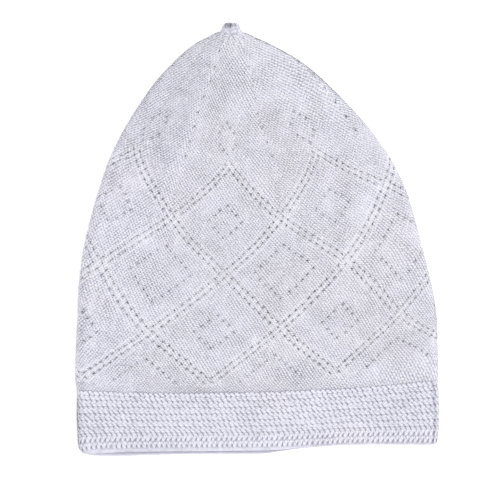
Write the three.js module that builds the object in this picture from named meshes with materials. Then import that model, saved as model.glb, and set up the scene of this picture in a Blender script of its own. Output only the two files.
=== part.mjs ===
// A knitted kufi lying flat on a table: two layers of fabric folded along the left and
// right sides, the mouth towards -Y and the peak towards +Y. Millimetres, +Z up, with the
// table at z = 0 under the middle of the cap.
//
// The fabric is knitted in the round, in gores that meet at the peak. A point of it is
// named by its phase, counted in gores round the cap, and its course, counted in heights
// of one diamond up from the lowest corners of the diamond lattice.
import * as THREE from "three";

// The cap laid flat
const capLength = 238;
const capWidth = 200;
const bandHeight = 33.6;
const knotHeight = 5.2;

// The fabric and the room between its layers
const crownWall = 1.8;
const bandWall = 2.4;
const foldGap = 4;
const archRise = 3;

// Clearance between pieces that touch
const pieceGap = 0.3;

// The lattice of diamonds and the small diamonds in its cells, knitted as sunken lines
const gores = 6;
const gridPerGore = 12;
const latticeTop = 2;
const latticeDepth = 0.6;
const innerDepth = 0.4;

// The rows of the band
const bandRows = 8;
const bandRelief = 0.5;
const hemHeight = 2.8;

// The round corners of the mouth, and the crease beside the right one
const leftCorner = 5;
const rightCorner = 2.6;
const creaseDepth = 1.1;

// The knot that closes the peak
const knotWidth = 12;
const knotThickness = 7.2;
const knotFlutes = 8;
const fluteDepth = 0.35;

const mouthY = -capLength / 2;
const crownBaseY = mouthY + bandHeight;
const crownTopY = capLength / 2 - knotHeight;

// A table whose rows are objects with the columns' names
function table(columns, rows) {
  return rows.map((row) => Object.fromEntries(columns.map((column, i) => [column, row[i]])));
}

// Courses of the crown, and how each one lies. leftX and rightX are its folds, in halves of
// the width. leftUp, midUp and rightUp are its height at the left fold, half way across and
// at the right fold, in shares of the crown's length. leftPhase and rightPhase are the
// phases at the folds, lean moves the gores sideways between them, and rise is the share of
// archRise by which the upper layer stands up.
const crownCourses = table(
  ["course", "leftX", "leftUp", "midUp", "rightX", "rightUp", "leftPhase", "rightPhase", "lean", "rise"],
  [
    [-0.15, -1.0, 0.003, 0.0, 0.992, 0.03, -0.58, 2.36, 0, 0.85],
    [0, -1.0, 0.052, 0.041, 0.99, 0.118, -0.58, 2.36, 0, 0.92],
    [0.5, -0.992, 0.181, 0.181, 0.976, 0.247, -0.53, 2.38, 0.036, 1],
    [1, -0.967, 0.372, 0.335, 0.893, 0.432, -0.66, 2.18, 0.012, 1],
    [1.5, -0.883, 0.546, 0.479, 0.787, 0.6, -0.7, 2.2, 0.012, 0.95],
    [2, -0.775, 0.692, 0.632, 0.623, 0.73, -0.75, 2.21, 0.02, 0.85],
    [2.5, -0.589, 0.843, 0.779, 0.374, 0.862, -1.08, 2.12, -0.055, 0.6],
    [2.75, -0.469, 0.914, 0.862, 0.228, 0.922, -1.15, 2.11, -0.04, 0.4],
    [3, -0.352, 0.968, 0.938, 0.068, 0.968, -1.2, 2.1, -0.02, 0.2],
    [3.17, -0.255, 1, 1, -0.045, 1, -1.2, 2.1, 0, 0],
  ],
);

// The folds of the band at the mouth and half way up, in halves of the width
const bandFolds = {
  mouth: { leftX: -0.984, rightX: 0.986 },
  middle: { leftX: -0.998, rightX: 1.0 },
};
const mouthRise = 0.6;

// The mouth's edge from the left fold to the right: how far the edges of the two layers
// lie back from the lowest point, in shares of the band's height
const mouthEdge = table(
  ["across", "lowerUp", "upperUp"],
  [
    [0, 0.03, 0.03],
    [0.04, 0, 0.062],
    [0.18, 0.016, 0.07],
    [0.34, 0.037, 0.086],
    [0.51, 0.045, 0.102],
    [0.56, 0.09, 0.119],
    [0.62, 0.127, 0.143],
    [0.75, 0.167, 0.184],
    [1, 0.18, 0.18],
  ],
);

// The small diamonds: where their middles are in each gore, and how far their corners reach
const innerDiamonds = table(
  ["course", "phase", "reach"],
  [
    [0, 0, 3 / gridPerGore],
    [0.5, 0.5, 2 / gridPerGore],
    [1, 0, 3 / gridPerGore],
    [1.5, 0.5, 2 / gridPerGore],
    [2 + 3 / gridPerGore, 0.5, 2 / gridPerGore],
  ],
);

// Angles round a fold at which every ring has a point, so that the outline stays smooth
const outerFoldAngles = [-90, -60, -30, 0, 30, 60, 90];
const innerFoldAngles = [-60, 0, 60];

// The inner surface and the bare fabric near the peak have fewer points, this share of the
// grid. The bare fabric begins at this course.
const coarser = 1 / 3;
const latticeEnd = 2.5;

// The phase at which every ring starts
const ringStart = 0.5;

const wrap = (value, span) => value - span * Math.floor(value / span);

// A column of a table where its key has any value: a smooth curve through the rows
function sample(rows, key, value, column) {
  const last = rows.length - 1;
  let i = 0;
  while (i < last - 1 && value > rows[i + 1][key]) i++;
  const slopeAt = (k) => {
    const before = rows[Math.max(k - 1, 0)];
    const after = rows[Math.min(k + 1, last)];
    return (after[column] - before[column]) / (after[key] - before[key]);
  };
  const from = rows[i];
  const to = rows[i + 1];
  const span = to[key] - from[key];
  const t = (value - from[key]) / span;
  const square = t * t;
  const cube = square * t;
  return (
    from[column] * (2 * cube - 3 * square + 1) +
    slopeAt(i) * span * (cube - 2 * square + t) +
    to[column] * (3 * square - 2 * cube) +
    slopeAt(i + 1) * span * (cube - square)
  );
}

// One course of the crown, in millimetres
function crownCourse(course) {
  const at = (column) => sample(crownCourses, "course", course, column);
  const up = (across) =>
    at("leftUp") * (1 - across) * (1 - 2 * across) +
    at("midUp") * 4 * across * (1 - across) +
    at("rightUp") * across * (2 * across - 1);
  return {
    leftX: (at("leftX") * capWidth) / 2,
    rightX: (at("rightX") * capWidth) / 2,
    yAt: (across) => crownBaseY + up(across) * (crownTopY - crownBaseY),
    leftPhase: at("leftPhase"),
    rightPhase: at("rightPhase"),
    lean: at("lean"),
    rise: at("rise") * archRise,
    wall: crownWall,
    crease: 0,
  };
}

// One course of the band, from 0 at the mouth's edge to 1 where the crown begins
function bandCourse(share) {
  const top = crownCourse(crownCourses[0].course);
  const mix = (from, to) => from + (to - from) * share;
  const bulge = 4 * share * (1 - share);
  const fold = (column, topX) => {
    const mouthX = (bandFolds.mouth[column] * capWidth) / 2;
    const middleX = (bandFolds.middle[column] * capWidth) / 2;
    return mix(mouthX, topX) + bulge * (middleX - (mouthX + topX) / 2);
  };
  const edgeY = (across, upper) =>
    mouthY + sample(mouthEdge, "across", across, upper ? "upperUp" : "lowerUp") * bandHeight;
  const fromMouth = share * bandHeight;
  return {
    leftX: fold("leftX", top.leftX) + cornerInset(leftCorner, fromMouth),
    rightX: fold("rightX", top.rightX) - cornerInset(rightCorner, fromMouth),
    yAt: (across, upper) => mix(edgeY(across, upper), top.yAt(across) - pieceGap),
    leftPhase: top.leftPhase,
    rightPhase: top.rightPhase,
    lean: top.lean,
    rise: mix(mouthRise * archRise, top.rise),
    wall: bandWall,
    crease: creaseDepth * Math.sqrt(1 - share),
  };
}

// How far a round corner draws the fold in, at a height above the mouth
function cornerInset(radius, height) {
  const rest = Math.max(radius - height, 0);
  return radius - Math.sqrt(radius * radius - rest * rest);
}

// Which layer a phase lies on, and its share of the way from the left fold to the right
function placeOf(course, phase) {
  const turned = wrap(phase - course.leftPhase, gores);
  const upperSpan = course.rightPhase - course.leftPhase;
  if (turned > upperSpan) {
    return { upper: false, share: 1 - (turned - upperSpan) / (gores - upperSpan) };
  }
  const share = turned / upperSpan;
  return { upper: true, share: share + 4 * course.lean * share * (1 - share) };
}

// The phase at a share of the way across a layer, which undoes placeOf
function phaseAt(course, upper, share) {
  const upperSpan = course.rightPhase - course.leftPhase;
  if (!upper) return course.rightPhase + (1 - share) * (gores - upperSpan);
  const pull = 4 * course.lean;
  const root = Math.sqrt((1 + pull) ** 2 - 4 * pull * share);
  const even = pull === 0 ? share : (1 + pull - root) / (2 * pull);
  return course.leftPhase + even * upperSpan;
}

const foldRadius = (course) => foldGap / 2 + course.wall;

// Length of one layer from the outermost point of one fold to that of the other
function layerLength(course) {
  const radius = foldRadius(course);
  return course.rightX - course.leftX - 2 * radius + Math.PI * radius;
}

// A point of the wall: a phase of a course, at a depth below the outer surface
function wallPoint(course, phase, depth) {
  const { upper, share } = placeOf(course, phase);
  const radius = foldRadius(course);
  const quarter = (Math.PI / 2) * radius;
  const length = layerLength(course);
  const along = share * length;
  const nearer = Math.min(along, length - along);
  const angle = Math.min(nearer, quarter) / radius;
  const inward = radius - (radius - depth) * Math.cos(angle) + Math.max(nearer - quarter, 0);
  const x = along < length / 2 ? course.leftX + inward : course.rightX - inward;

  const lift = (radius - depth) * Math.sin(angle);
  const middle = (course.leftX + course.rightX) / 2;
  const reach = (course.rightX - course.leftX) / 2 - radius;
  const outward = reach > 0 ? Math.min(Math.abs(x - middle) / reach, 1) : 1;
  const arch = course.rise * (1 - outward * outward) ** 1.5;
  const fromEdge = Math.min((course.rightX - x) / (2 * radius), 1);
  const dent = course.crease * Math.sin(Math.PI * fromEdge) ** 4;
  const z = upper ? radius + lift + arch - dent : radius - lift;

  const across = (x - course.leftX) / (course.rightX - course.leftX);
  return new THREE.Vector3(x, course.yAt(across, upper), z);
}

// The ring of one course: points on an even grid of phases, and points round each fold
function ringOf(course, depthAt, perGore, foldAngles) {
  const radius = foldRadius(course);
  const length = layerLength(course);
  const quarterShare = ((Math.PI / 2) * radius) / length;
  const phases = [];
  for (const degrees of foldAngles) {
    const share = (quarterShare * Math.abs(degrees)) / 90;
    phases.push(phaseAt(course, degrees >= 0, share));
    phases.push(phaseAt(course, degrees >= 0, 1 - share));
  }
  const clearOfFolds = 1.25 * quarterShare;
  for (let k = 0; k < gores * perGore; k++) {
    const { share } = placeOf(course, k / perGore);
    if (share > clearOfFolds && share < 1 - clearOfFolds) phases.push(k / perGore);
  }
  return phases
    .map((phase) => wrap(phase - ringStart, gores))
    .sort((a, b) => a - b)
    .filter((phase, i, all) => i === 0 || phase - all[i - 1] > 1e-6)
    .map((phase) => {
      const depth = depthAt(phase + ringStart);
      return { phase, depth, point: wallPoint(course, phase + ringStart, depth) };
    });
}

// How deep the knitted lines sink below the crown's outer surface
function crownDepth(course, phase) {
  const lineWidth = 1 / gridPerGore;
  const sunk = (distance) => Math.max(1 - Math.abs(distance) / lineWidth, 0);
  const offLine = (value) => wrap(value, 1) - 0.5;
  const inLattice = course > -lineWidth / 2 && course < latticeTop + lineWidth / 2;
  const lattice = inLattice ? Math.max(sunk(offLine(phase + course)), sunk(offLine(phase - course))) : 0;

  let inner = 0;
  for (const ring of innerDiamonds) {
    const sideways = Math.abs(wrap(phase - ring.phase + 0.5, 1) - 0.5);
    const distance = sideways + Math.abs(course - ring.course) - ring.reach;
    inner = Math.max(inner, sunk(distance));
  }
  return Math.max(latticeDepth * lattice, innerDepth * inner);
}

// Triangles between two rings that go round the same way
function zip(from, to, faces) {
  const ahead = (ring, i) => ring[i % ring.length].phase + (i >= ring.length ? gores : 0);
  let i = 0;
  let j = 0;
  while (i < from.length || j < to.length) {
    const a = from[i % from.length];
    const b = to[j % to.length];
    const nextA = from[(i + 1) % from.length];
    const nextB = to[(j + 1) % to.length];
    const gap = ahead(from, i + 1) - ahead(to, j + 1);
    const alongA = Math.abs(gap) > 1e-6 ? gap < 0 : nextA.depth + b.depth >= a.depth + nextB.depth;
    if (j >= to.length || (i < from.length && alongA)) {
      faces.push(a.index, nextA.index, b.index);
      i++;
    } else {
      faces.push(a.index, nextB.index, b.index);
      j++;
    }
  }
}

// Triangles between a ring and the one point that closes it, at the chain's start or end
function fan(ring, point, atStart, faces) {
  ring.forEach((a, i) => {
    const b = ring[(i + 1) % ring.length];
    if (atStart) faces.push(point.index, b.index, a.index);
    else faces.push(a.index, b.index, point.index);
  });
}

// A closed surface through a chain of rings. Both ends of the chain are single points, or
// the chain closes on itself.
function chainGeometry(chain, closed) {
  const positions = [];
  const number = (vertex) => {
    vertex.index = positions.length / 3;
    positions.push(vertex.point.x, vertex.point.y, vertex.point.z);
  };
  chain.forEach((ring) => ring.forEach(number));
  const faces = [];
  const steps = closed ? chain.length : chain.length - 1;
  for (let k = 0; k < steps; k++) {
    const from = chain[k];
    const to = chain[(k + 1) % chain.length];
    if (from.length === 1) fan(to, from[0], true, faces);
    else if (to.length === 1) fan(from, to[0], false, faces);
    else zip(from, to, faces);
  }
  const geometry = new THREE.BufferGeometry();
  geometry.setAttribute("position", new THREE.Float32BufferAttribute(positions, 3));
  geometry.setIndex(faces);
  geometry.computeVertexNormals();
  return geometry;
}

// The one point that closes a ring, in its middle
function middleOf(ring) {
  const sum = new THREE.Vector3();
  ring.forEach((vertex) => sum.add(vertex.point));
  return [{ phase: 0, depth: 0, point: sum.divideScalar(ring.length) }];
}

const cotton = (roughness) =>
  new THREE.MeshStandardMaterial({ color: 0xe2e1ee, roughness, metalness: 0 });

// The crown: an outer and an inner surface that join round the seam with the band
function makeCrown() {
  const first = crownCourses[0].course;
  const last = crownCourses[crownCourses.length - 1].course;
  const step = 1 / gridPerGore;
  const courses = [first];
  for (let course = 0; course < last - step / 2; course += step) courses.push(course);
  courses.push(last);
  const outer = courses.map((course) => {
    const perGore = course < latticeEnd + step / 2 ? gridPerGore : gridPerGore * coarser;
    return ringOf(crownCourse(course), (phase) => crownDepth(course, phase), perGore, outerFoldAngles);
  });

  const innerStep = step / coarser;
  const peakWall = 1.5 * crownWall;
  const end = last - (peakWall * (last - first)) / (crownTopY - crownBaseY);
  const innerCourses = [first];
  for (let course = 0; course < end - innerStep / 2; course += innerStep) innerCourses.push(course);
  innerCourses.push(end);
  const inner = innerCourses.map((course) =>
    ringOf(crownCourse(course), () => crownWall, gridPerGore * coarser, innerFoldAngles),
  );
  const chain = [
    middleOf(inner[inner.length - 1]),
    ...inner.reverse(),
    ...outer,
    middleOf(outer[outer.length - 1]),
  ];
  const mesh = new THREE.Mesh(chainGeometry(chain, false), cotton(0.95));
  mesh.name = "crown";
  return mesh;
}

// The band: rows of heavier stitches above a plain hem
function makeBand() {
  const hemShare = hemHeight / bandHeight;
  const outerShares = [0, hemShare / 2];
  const depths = [bandRelief, 0];
  for (let row = 0; row < bandRows; row++) {
    const rowShare = (1 - hemShare) / bandRows;
    outerShares.push(hemShare + row * rowShare, hemShare + (row + 0.5) * rowShare);
    depths.push(bandRelief, 0);
  }
  outerShares.push(1);
  depths.push(bandRelief);
  const outer = outerShares.map((share, i) =>
    ringOf(bandCourse(share), () => depths[i], gridPerGore, outerFoldAngles),
  );
  const innerShares = [1, 0.5, hemShare, 0];
  const inner = innerShares.map((share) =>
    ringOf(bandCourse(share), () => bandWall, gridPerGore * coarser, innerFoldAngles),
  );
  const mesh = new THREE.Mesh(chainGeometry([...outer, ...inner], true), cotton(0.95));
  mesh.name = "band";
  return mesh;
}

// The knot: the last stitches drawn together, standing on the end of the crown
function makeKnot() {
  const top = crownCourse(crownCourses[crownCourses.length - 1].course);
  const radius = knotWidth / 2;
  const height = knotHeight - pieceGap;
  const profile = [
    new THREE.Vector2(0, 0),
    new THREE.Vector2(radius, 0),
    new THREE.Vector2(0.93 * radius, 0.25 * height),
    new THREE.Vector2(0.88 * radius, 0.5 * height),
    new THREE.Vector2(0.78 * radius, 0.74 * height),
    new THREE.Vector2(0.55 * radius, 0.92 * height),
    new THREE.Vector2(0, height),
  ];
  const geometry = new THREE.LatheGeometry(profile, 4 * knotFlutes);
  const position = geometry.getAttribute("position");
  const flatten = knotThickness / knotWidth;
  for (let i = 0; i < position.count; i++) {
    const x = position.getX(i);
    const z = position.getZ(i);
    const out = Math.hypot(x, z);
    const turn = Math.atan2(z, x);
    const fluted = out - (fluteDepth * (1 - Math.cos(knotFlutes * turn)) * out) / knotWidth;
    position.setX(i, fluted * Math.cos(turn));
    position.setZ(i, fluted * Math.sin(turn) * flatten);
  }
  geometry.computeVertexNormals();
  const mesh = new THREE.Mesh(geometry, cotton(0.9));
  mesh.name = "peak_knot";
  mesh.position.set((top.leftX + top.rightX) / 2, crownTopY + pieceGap, foldRadius(top));
  return mesh;
}

const kufi = new THREE.Group();
kufi.add(makeCrown(), makeBand(), makeKnot());

export default kufi;
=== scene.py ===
import math

import bpy
import numpy as np
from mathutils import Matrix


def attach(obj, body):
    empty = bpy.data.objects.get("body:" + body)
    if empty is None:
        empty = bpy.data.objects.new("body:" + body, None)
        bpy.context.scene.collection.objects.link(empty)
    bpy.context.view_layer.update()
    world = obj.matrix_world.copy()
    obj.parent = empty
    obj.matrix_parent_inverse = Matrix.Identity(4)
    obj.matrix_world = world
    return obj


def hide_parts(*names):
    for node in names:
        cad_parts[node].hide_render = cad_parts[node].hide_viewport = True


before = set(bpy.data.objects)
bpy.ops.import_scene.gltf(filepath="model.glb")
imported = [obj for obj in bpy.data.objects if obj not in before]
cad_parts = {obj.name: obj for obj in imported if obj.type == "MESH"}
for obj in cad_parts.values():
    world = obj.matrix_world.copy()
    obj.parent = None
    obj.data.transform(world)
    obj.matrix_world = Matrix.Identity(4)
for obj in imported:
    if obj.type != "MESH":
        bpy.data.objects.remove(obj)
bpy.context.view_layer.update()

# A white knitted kufi lying flat, seen from straight above. The fabric is worked out in
# millimetres and written to the meshes in metres. As in the CAD, a point of the fabric is
# named by its phase, counted in gores round the cap, and its course, counted in heights of
# one diamond up from the lowest corners of the lattice.
MM = 0.001

# The cap laid flat
CAP_LENGTH = 238.0
CAP_WIDTH = 200.0
BAND_HEIGHT = 33.6
KNOT_HEIGHT = 5.2
CROWN_WALL = 1.8
INNER_DEPTH = 1.5        # of the crown's inner surface, where the yarn's backs lie
BAND_WALL = 2.4
FOLD_GAP = 4.0
ARCH_RISE = 3.0
PIECE_GAP = 0.3
LEFT_CORNER = 5.0
RIGHT_CORNER = 2.6
CREASE_DEPTH = 0.9
CREASE_INSET = 3.1       # from the right edge
CREASE_END = 1.4         # the share of the band at which it would run out, past the top
KNOT_WIDTH = 12.0
KNOT_THICKNESS = 7.2
GORES = 6

MOUTH_Y = -CAP_LENGTH / 2
CROWN_BASE_Y = MOUTH_Y + BAND_HEIGHT
CROWN_TOP_Y = CAP_LENGTH / 2 - KNOT_HEIGHT

# Courses of the crown, with the columns of the CAD's table: course, left_x, left_up, mid_up,
# right_x, right_up, left_phase, right_phase, lean and rise
CROWN_COURSES = np.array([
    [-0.15, -0.99, 0.003, 0.0, 0.992, 0.03, -0.58, 2.36, 0, 0.85],
    [0, -1.0, 0.052, 0.041, 0.99, 0.118, -0.58, 2.36, 0, 0.92],
    [0.5, -0.992, 0.181, 0.181, 0.976, 0.247, -0.53, 2.38, 0.036, 1],
    [1, -0.967, 0.372, 0.335, 0.893, 0.432, -0.66, 2.18, 0.012, 1],
    [1.5, -0.883, 0.546, 0.479, 0.787, 0.6, -0.7, 2.2, 0.012, 0.95],
    [2, -0.775, 0.692, 0.632, 0.623, 0.73, -0.75, 2.21, 0.02, 0.85],
    [2.5, -0.589, 0.843, 0.779, 0.374, 0.862, -1.08, 2.12, -0.055, 0.6],
    [2.75, -0.469, 0.914, 0.862, 0.228, 0.922, -1.15, 2.11, -0.04, 0.4],
    [3, -0.352, 0.968, 0.938, 0.068, 0.968, -1.2, 2.1, -0.02, 0.2],
    [3.08, -0.265, 0.991, 0.972, 0.0, 0.983, -1.2, 2.1, -0.01, 0.1],
    [3.17, -0.215, 1, 1, -0.075, 1, -1.2, 2.1, 0, 0],
])
FIRST_COURSE = CROWN_COURSES[0, 0]
LAST_COURSE = CROWN_COURSES[-1, 0]

# The band's folds at the mouth and half way up, and how high it stands at the mouth
BAND_LEFT_X = (-0.978, -0.991)
BAND_RIGHT_X = (0.986, 1.0)
MOUTH_RISE = 0.6

# The mouth's edge from the left fold to the right, with the columns of the CAD's table:
# across, lower_up and upper_up
MOUTH_EDGE = np.array([
    [0, 0.035, 0.035],
    [0.04, 0.005, 0.072],
    [0.18, 0.031, 0.099],
    [0.34, 0.05, 0.107],
    [0.51, 0.054, 0.12],
    [0.56, 0.095, 0.132],
    [0.62, 0.14, 0.158],
    [0.75, 0.192, 0.206],
    [1, 0.205, 0.205],
])

# The crown's knitting
STITCH_WIDTH = 1.62
ROW_HEIGHT = 1.4
KNIT_START = (300, 30)   # stitches and rows added, so that none is below 0
SURFACE_DEPTH = 0.15     # of the plain knitting below the wall's outer side
RELIEF_HEIGHT = 0.26
SLACK_DEPTH = 0.22
PUCKER_DEPTH = 0.3
PUCKERS = 3              # in each gore, under the knot
GATHERED = (2.72, 0.4)   # the course from which it puckers, and over how much
HEM_DIP = 0.1            # where the crown meets the band
HEM_DIP_ROWS = 5.0
DEEPEST_DISH = 0.6       # round an eyelet

# The band's knitting
BAND_STITCHES = 150
BAND_ROWS = 8
HEM_HEIGHT = 2.0
HEM_SHARE = HEM_HEIGHT / BAND_HEIGHT
HEM_CURL = 3.4           # how far the lower layer's hem curls up
CURL_LENGTH = 4.2        # how far up the band the curl goes
CURL_GROWS = 0.08        # the share of the width over which it grows, from each fold
LIP_LESS = 0.5           # the share of the hem's height that it lacks at the right
LIP_NARROWS = (0.48, 0.2)  # where across the hem begins to lack it, and over how much

# The painted shade in the band's crease and where it turns down at the left, and the painted light on the
# insides
CREASE_SHADE = 0.32
FOLD_SHADE = 0.9
BAND_SHADE_WIDTH = 2.3
INNER_PAINTED_LIGHT = 0.35


# Fabric

def fade(value, start, over):
    """Rises from 0 to 1 over a length from the start, or over a negative length downwards."""
    return np.clip((value - start) / over, 0, 1)


def hill(value, middle, width):
    return np.exp(-(((value - middle) / width) ** 2))


def sample(rows, at):
    """The columns of a table at any value of its first column, on a smooth curve."""
    keys = rows[:, 0]
    last = len(rows) - 1
    order = np.arange(last + 1)
    before = np.maximum(order - 1, 0)
    after = np.minimum(order + 1, last)
    slopes = (rows[after] - rows[before]) / (keys[after] - keys[before])[:, None]
    at = np.asarray(at, float)
    i = np.clip(np.searchsorted(keys, at, side="right") - 1, 0, last - 1)
    span = (keys[i + 1] - keys[i])[..., None]
    t = (at - keys[i])[..., None] / span
    return (
        rows[i] * (2 * t**3 - 3 * t**2 + 1)
        + slopes[i] * span * (t**3 - 2 * t**2 + t)
        + rows[i + 1] * (3 * t**2 - 2 * t**3)
        + slopes[i + 1] * span * (t**3 - t**2)
    )


def crown_y(course, across):
    """The crown's Y at a share of the way across a course."""
    at = sample(CROWN_COURSES, course)
    up = (
        at[..., 2] * (1 - across) * (1 - 2 * across)
        + at[..., 3] * 4 * across * (1 - across)
        + at[..., 5] * across * (2 * across - 1)
    )
    return CROWN_BASE_Y + up * (CROWN_TOP_Y - CROWN_BASE_Y)


def wall_point(lie, phase, depth):
    """Points of a flattened ring at a phase of it and a depth below its outer surface: X, the
    share of the way across, whether it is in the upper layer, Z and how far into the crease."""
    span = lie["right_phase"] - lie["left_phase"]
    turned = np.mod(phase - lie["left_phase"], GORES)
    upper = turned <= span
    even = turned / span
    share = np.where(
        upper,
        even + 4 * lie["lean"] * even * (1 - even),
        1 - (turned - span) / (GORES - span),
    )
    radius = FOLD_GAP / 2 + lie["wall"]
    quarter = math.pi / 2 * radius
    length = lie["right_x"] - lie["left_x"] - 2 * radius + math.pi * radius
    along = share * length
    nearer = np.minimum(along, length - along)
    angle = np.minimum(nearer, quarter) / radius
    inward = radius - (radius - depth) * np.cos(angle) + np.maximum(nearer - quarter, 0)
    x = np.where(along < length / 2, lie["left_x"] + inward, lie["right_x"] - inward)

    lift = (radius - depth) * np.sin(angle)
    middle = (lie["left_x"] + lie["right_x"]) / 2
    reach = (lie["right_x"] - lie["left_x"]) / 2 - radius
    outward = np.minimum(np.abs(x - middle) / reach, 1)
    arch = lie["rise"] * (1 - outward**2) ** 1.5

    # The crease is a wide dip with a sharp line in it
    from_edge = np.clip((lie["right_x"] - x) / (2 * CREASE_INSET), 0, 1)
    fold = np.sin(math.pi * from_edge)
    dent = lie["crease"] * (0.6 * fold**4 + 0.4 * fold**16)
    z = np.where(upper, radius + lift + arch - dent, np.maximum(radius - lift, 0))
    across = (x - lie["left_x"]) / (lie["right_x"] - lie["left_x"])
    groove = np.where(upper & (lie["crease"] > 0), fold**14, 0)
    return x, across, upper, z, groove


def crown_point(course, phase, depth):
    at = sample(CROWN_COURSES, course)
    lie = {
        "left_x": at[..., 1] * CAP_WIDTH / 2,
        "right_x": at[..., 4] * CAP_WIDTH / 2,
        "left_phase": at[..., 6],
        "right_phase": at[..., 7],
        "lean": at[..., 8],
        "rise": at[..., 9] * ARCH_RISE,
        "wall": CROWN_WALL,
        "crease": 0,
    }
    x, across, _, z, _ = wall_point(lie, phase, depth)
    return np.stack([x, crown_y(course, across), z], -1)


def corner_inset(radius, height):
    rest = np.maximum(radius - height, 0)
    return radius - np.sqrt(radius * radius - rest * rest)


def band_point(share, phase, depth):
    """Points of the band, from share 0 at the mouth's edge to 1 where the crown begins, and
    how much each lies in the shade of the crease or of the left fold."""
    top = sample(CROWN_COURSES, FIRST_COURSE)
    bulge = 4 * share * (1 - share)

    def fold(places, top_x):
        mouth_x, middle_x = (place * CAP_WIDTH / 2 for place in places)
        straight = mouth_x + (top_x - mouth_x) * share
        return straight + bulge * (middle_x - (mouth_x + top_x) / 2)

    from_mouth = np.maximum(share, 0) * BAND_HEIGHT
    lie = {
        "left_x": fold(BAND_LEFT_X, top[1] * CAP_WIDTH / 2) + corner_inset(LEFT_CORNER, from_mouth),
        "right_x": fold(BAND_RIGHT_X, top[4] * CAP_WIDTH / 2) - corner_inset(RIGHT_CORNER, from_mouth),
        "left_phase": top[6],
        "right_phase": top[7],
        "lean": top[8],
        "rise": ARCH_RISE * (MOUTH_RISE + (top[9] - MOUTH_RISE) * share),
        "wall": BAND_WALL,
        "crease": CREASE_DEPTH * fade(share, CREASE_END, -1),
    }
    x, across, upper, z, groove = wall_point(lie, phase, depth)
    turning = hill(z, FOLD_GAP / 2 + BAND_WALL, BAND_SHADE_WIDTH) * (x < 0)
    shade = CREASE_SHADE * groove + FOLD_SHADE * turning * np.clip(bulge * 2, 0, 1)

    # The lower layer's hem curls up, but not at the folds
    grown = fade(np.minimum(across, 1 - across), 0, CURL_GROWS)
    curl = HEM_CURL * grown * np.clip(1 - from_mouth / CURL_LENGTH, 0, 1) ** 1.5
    z = z + np.where(upper, 0, curl)

    # The hem is a narrower lip in the right half
    edge = sample(MOUTH_EDGE, across)
    edge_y = MOUTH_Y + BAND_HEIGHT * np.where(upper, edge[..., 2], edge[..., 1])
    top_y = crown_y(np.full_like(x, FIRST_COURSE), across) - PIECE_GAP
    narrower = LIP_LESS * fade(across, *LIP_NARROWS)
    lip = HEM_SHARE
    up = share - narrower * lip * np.minimum(share / lip, (1 - share) / (1 - lip))
    return np.stack([x, edge_y + (top_y - edge_y) * up, z], -1), shade


def ripple(x, y):
    """A slow unevenness of cloth that lies by itself, from -1 to 1."""
    return (
        0.45 * np.sin(x / 17 + y / 41 + 0.6)
        + 0.3 * np.sin(x / 31 - y / 19 + 2.1)
        + 0.25 * np.sin(x / 11 + y / 13 + 4.0)
    )


# Meshes

TURNED_OVER = [0, 3, 2, 1]


def quads_of(index):
    """The quads of a grid of point numbers whose rows close on themselves."""
    right = np.roll(index, -1, axis=1)
    return np.stack([index[:-1], right[:-1], right[1:], index[1:]], -1)


def new_object(name, points, faces):
    mesh = bpy.data.meshes.new(name)
    mesh.from_pydata((np.asarray(points) * MM).tolist(), [], faces)
    mesh.update()
    mesh.shade_smooth()
    piece = bpy.data.objects.new(name, mesh)
    bpy.context.scene.collection.objects.link(piece)
    return piece


def set_uv(mesh, name, values):
    layer = mesh.uv_layers.new(name=name)
    layer.uv.foreach_set("vector", np.asarray(values, np.float32).ravel())


def set_value(mesh, name, values):
    """A number for each point: the painted light and shade of the yarn, which its colour ramp reads and
    which also raises its bump, and Lean, how much its strands rise to the right."""
    layer = mesh.attributes.new(name, "FLOAT", "POINT")
    layer.data.foreach_set("value", np.asarray(values, np.float32))


# The crown's grid. Its first row lies at the band and the others are counted from the lowest
# corners of the lattice. The inner surface, and the outer one above COARSE_FROM, have every
# second column only.
GRID = 88                # columns of the outer surface in each gore, and rows in each course
HALF_GORE = GRID // 2
COLUMNS = GORES * GRID
HALF_COLUMNS = COLUMNS // 2
HEM_ROW = -13            # where the knitting dips to the band
SECOND_ROW = -12
COARSE_FROM = 198
LAST_ROW = int(LAST_COURSE * GRID)
OUTER_ROWS = np.concatenate([[FIRST_COURSE * GRID], np.arange(SECOND_ROW, LAST_ROW + 1)])
INNER_ROWS = np.concatenate([[FIRST_COURSE * GRID], np.arange(SECOND_ROW, LAST_ROW, 2)])
UPPER_FROM = -52         # the first column of the upper layer, and how many it has
UPPER_COLUMNS = 258

# The rings that close the crown under the knot: their size, and how far up they lie
CLOSING_RINGS = ((0.84, 0.3), (0.66, 0.3), (0.5, 0.0))
TIP_DOWN = 0.2

# The eyelets, in columns and rows of the grid
EYELET_PITCH = 4
EYELET_REACH = {1: 0.58, 0: 0.38, -1: 0.24}  # along its slant, level or upright, and across
EYELET_SEED = 3
EYELET_SIZES = (0.62, 1.06)
EYELET_DEPTHS = (0.2, 0.5)
EYELET_STRAY = 0.26      # how far an eyelet lies off its place, and the most it can
MOST_STRAY = 0.45
OUTER_DISH = 0.08        # the dish's depth two columns or rows away
INNER_OPENING = 0.3      # how far the inner side of an eyelet is drawn in
RIDGE_WIDTH = 1.6        # of the ridge between the two rows of eyelets
BESIDE_HEIGHT = 0.6      # of the ridges at their outer sides, as a share of the middle one
BESIDE_AT = 6.2
BESIDE_WIDTH = 1.4
LATTICE_ROWS = 2 * GRID
LATTICE_SIDES = (-2, 4)  # where the two rows of eyelets lie beside a line of the lattice
INNER_DIAMONDS = (       # middle column and row, and reach
    (0, 0, 22),
    (HALF_GORE, HALF_GORE, 14),
    (0, GRID, 22),
    (HALF_GORE, HALF_GORE + GRID, 14),
    (HALF_GORE, 2 * GRID + 22, 14),
)
INNER_SIZE = 0.85
PEAK_ROWS = range(2 * GRID + 5, 268, 12)
PEAK_SIZE = 1.1


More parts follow.
